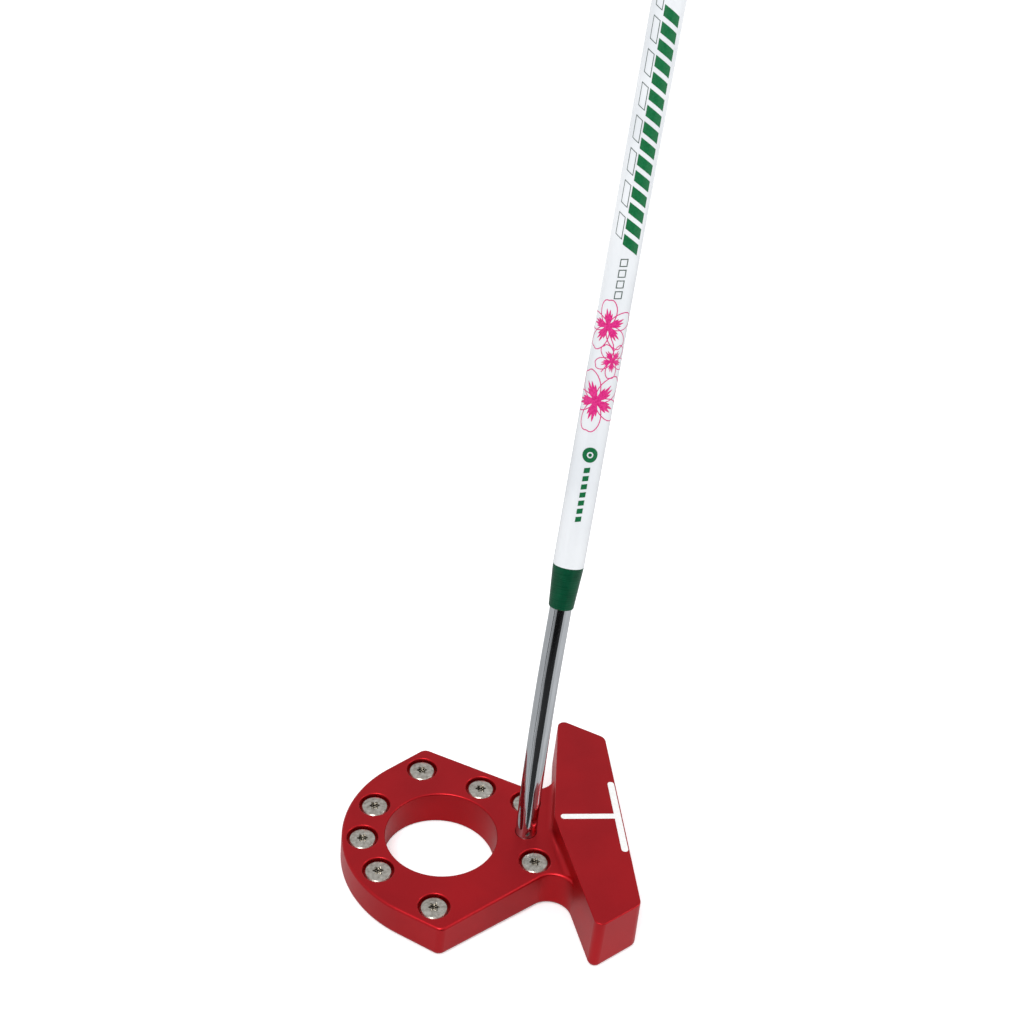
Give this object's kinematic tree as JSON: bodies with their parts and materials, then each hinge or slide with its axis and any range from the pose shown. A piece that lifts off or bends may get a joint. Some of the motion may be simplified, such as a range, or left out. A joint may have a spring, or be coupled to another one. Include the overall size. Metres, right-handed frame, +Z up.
{
  "type": "mallet putter",
  "caption": "Mallet golf putter: ring-shaped milled head with a vee-backed front bar, recessed screw weights, two-piece shaft and flat-front grip.",
  "frame": {"origin": "on the sole, under the point where the shaft's axis enters the head's top", "axes": "+X out of the striking face, +Y towards the heel and the player, +Z up with the sole flat on the ground"},
  "size_m": [0.1755, 0.3212, 0.8269],
  "materials": {
    "red_anodised": "bead-blasted and anodised red, satin",
    "mark_paint": "white enamel paint fill",
    "chrome_tube": "bright chrome plate on steel",
    "epoxy": "cured epoxy",
    "cork_plug": "cork",
    "coupler_metal": "turned",
    "collar_green": "dark green, satin gloss",
    "tube_paint": "white gloss paint on carbon fibre",
    "insert_metal": "drawn tube",
    "tape": "crepe paper tape",
    "grip_foam": "foamed rubber",
    "grip_rubber": "polyurethane skin, fine grain",
    "cap_rubber": "moulded rubber",
    "screw_steel": "stainless steel, tumbled"
  },
  "bodies": {
    "club": {"head_body": "red_anodised", "alignment_mark": "mark_paint", "shaft_tip_tube": "chrome_tube", "shaft_tip_bond": "epoxy", "shaft_tip_plug": "cork_plug", "shaft_coupler": "coupler_metal", "coupler_bond_lower": "epoxy", "coupler_bond_upper": "epoxy", "shaft_collar": "collar_green", "shaft_upper_tube": "tube_paint", "shaft_stiffening_insert": "insert_metal", "grip_tape": "tape", "grip_core": "grip_foam", "grip_skin": "grip_rubber", "grip_end_cap": "cap_rubber"},
    "screw_rear": {"weight_screw_rear": "screw_steel"},
    "screw_rear_heel": {"weight_screw_rear_heel": "screw_steel"},
    "screw_rear_toe": {"weight_screw_rear_toe": "screw_steel"},
    "screw_tip_heel": {"weight_screw_tip_heel": "screw_steel"},
    "screw_tip_toe": {"weight_screw_tip_toe": "screw_steel"},
    "screw_inner_heel": {"weight_screw_inner_heel": "screw_steel"},
    "screw_neck_heel": {"weight_screw_neck_heel": "screw_steel"},
    "screw_neck_toe": {"weight_screw_neck_toe": "screw_steel"}
  },
  "joints": [
    {"name": "unscrew_rear", "type": "slide", "parent": "club", "child": "screw_rear", "axis": [-0.0401, 0, 0.9992], "range_m": [0, 0.012]},
    {"name": "unscrew_rear_heel", "type": "slide", "parent": "club", "child": "screw_rear_heel", "axis": [-0.0401, 0, 0.9992], "range_m": [0, 0.012]},
    {"name": "unscrew_rear_toe", "type": "slide", "parent": "club", "child": "screw_rear_toe", "axis": [-0.0401, 0, 0.9992], "range_m": [0, 0.012]},
    {"name": "unscrew_tip_heel", "type": "slide", "parent": "club", "child": "screw_tip_heel", "axis": [-0.0401, 0, 0.9992], "range_m": [0, 0.012]},
    {"name": "unscrew_tip_toe", "type": "slide", "parent": "club", "child": "screw_tip_toe", "axis": [-0.0401, 0, 0.9992], "range_m": [0, 0.012]},
    {"name": "unscrew_inner_heel", "type": "slide", "parent": "club", "child": "screw_inner_heel", "axis": [-0.0401, 0, 0.9992], "range_m": [0, 0.012]},
    {"name": "unscrew_neck_heel", "type": "slide", "parent": "club", "child": "screw_neck_heel", "axis": [-0.0401, 0, 0.9992], "range_m": [0, 0.012]},
    {"name": "unscrew_neck_toe", "type": "slide", "parent": "club", "child": "screw_neck_toe", "axis": [-0.0401, 0, 0.9992], "range_m": [0, 0.012]}
  ]
}
